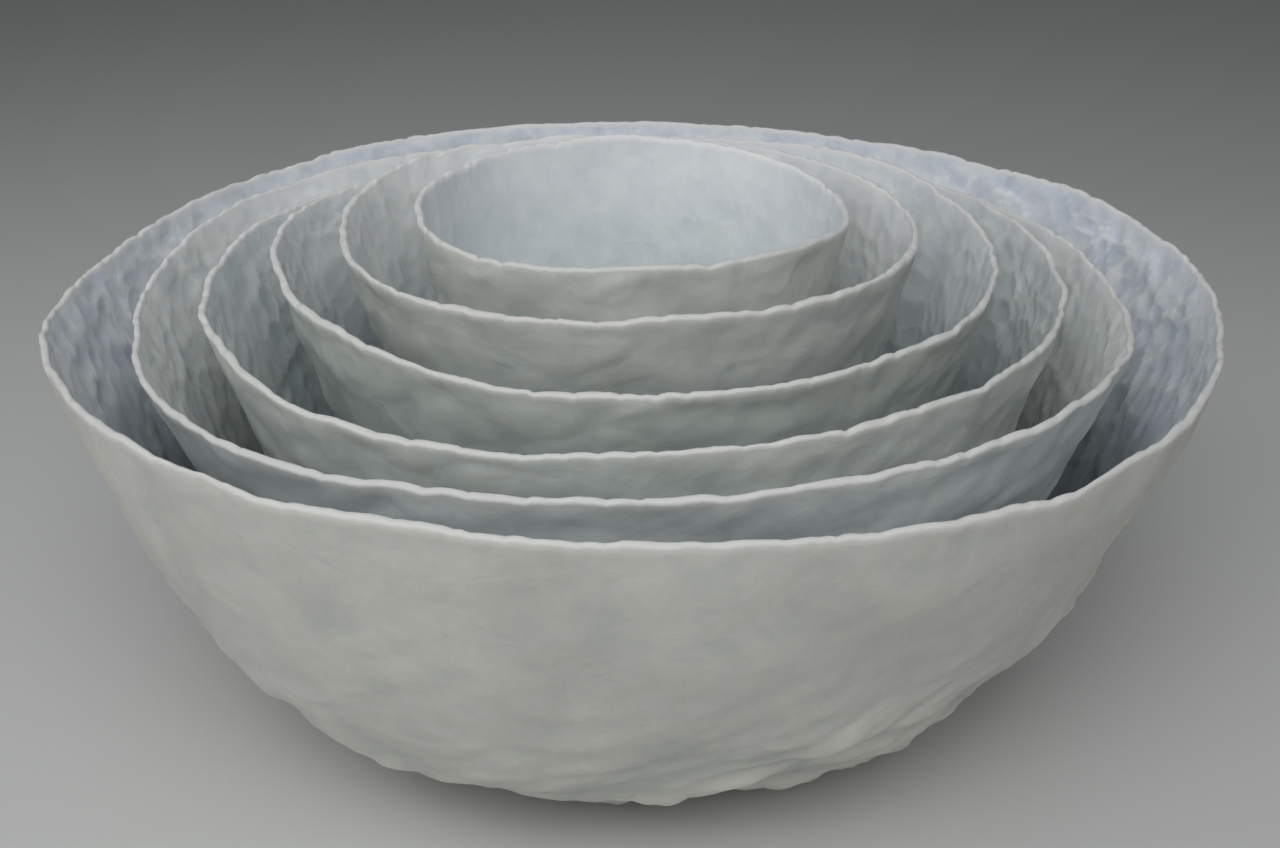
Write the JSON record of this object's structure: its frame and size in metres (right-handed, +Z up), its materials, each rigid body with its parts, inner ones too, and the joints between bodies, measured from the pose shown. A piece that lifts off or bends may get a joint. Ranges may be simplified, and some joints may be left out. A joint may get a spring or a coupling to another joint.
{
  "type": "nesting bowl set",
  "caption": "Nested set of thin hand-pinched porcelain bowls with rounded bellies, flat feet and wavy rims, each standing inside the next larger one.",
  "frame": {"origin": "centre of the outer bowl's flat foot, on the table", "axes": "+Z up out of the bowls' mouths; -Y towards the front of the set, +X to its right"},
  "size_m": [0.3891, 0.4068, 0.1785],
  "materials": {
    "porcelain_a": "satin unglazed white porcelain",
    "porcelain_b": "satin unglazed white porcelain",
    "porcelain_c": "satin unglazed white porcelain",
    "porcelain_d": "satin unglazed white porcelain",
    "porcelain_e": "satin unglazed white porcelain",
    "porcelain_f": "satin unglazed white porcelain"
  },
  "bodies": {
    "outer_bowl": {"bowl_a": "porcelain_a"},
    "second_bowl": {"bowl_b": "porcelain_b"},
    "third_bowl": {"bowl_c": "porcelain_c"},
    "fourth_bowl": {"bowl_d": "porcelain_d"},
    "fifth_bowl": {"bowl_e": "porcelain_e"},
    "inner_bowl": {"bowl_f": "porcelain_f"}
  },
  "joints": [
    {"name": "lift_second_bowl", "type": "slide", "parent": "outer_bowl", "child": "second_bowl", "axis": [0, 0, 1], "range_m": [0, 0.16]},
    {"name": "lift_third_bowl", "type": "slide", "parent": "second_bowl", "child": "third_bowl", "axis": [0, 0, 1], "range_m": [0, 0.16]},
    {"name": "lift_fourth_bowl", "type": "slide", "parent": "third_bowl", "child": "fourth_bowl", "axis": [0, 0, 1], "range_m": [0, 0.16]},
    {"name": "lift_fifth_bowl", "type": "slide", "parent": "fourth_bowl", "child": "fifth_bowl", "axis": [0, 0, 1], "range_m": [0, 0.16]},
    {"name": "lift_inner_bowl", "type": "slide", "parent": "fifth_bowl", "child": "inner_bowl", "axis": [0, 0, 1], "range_m": [0, 0.16]}
  ]
}
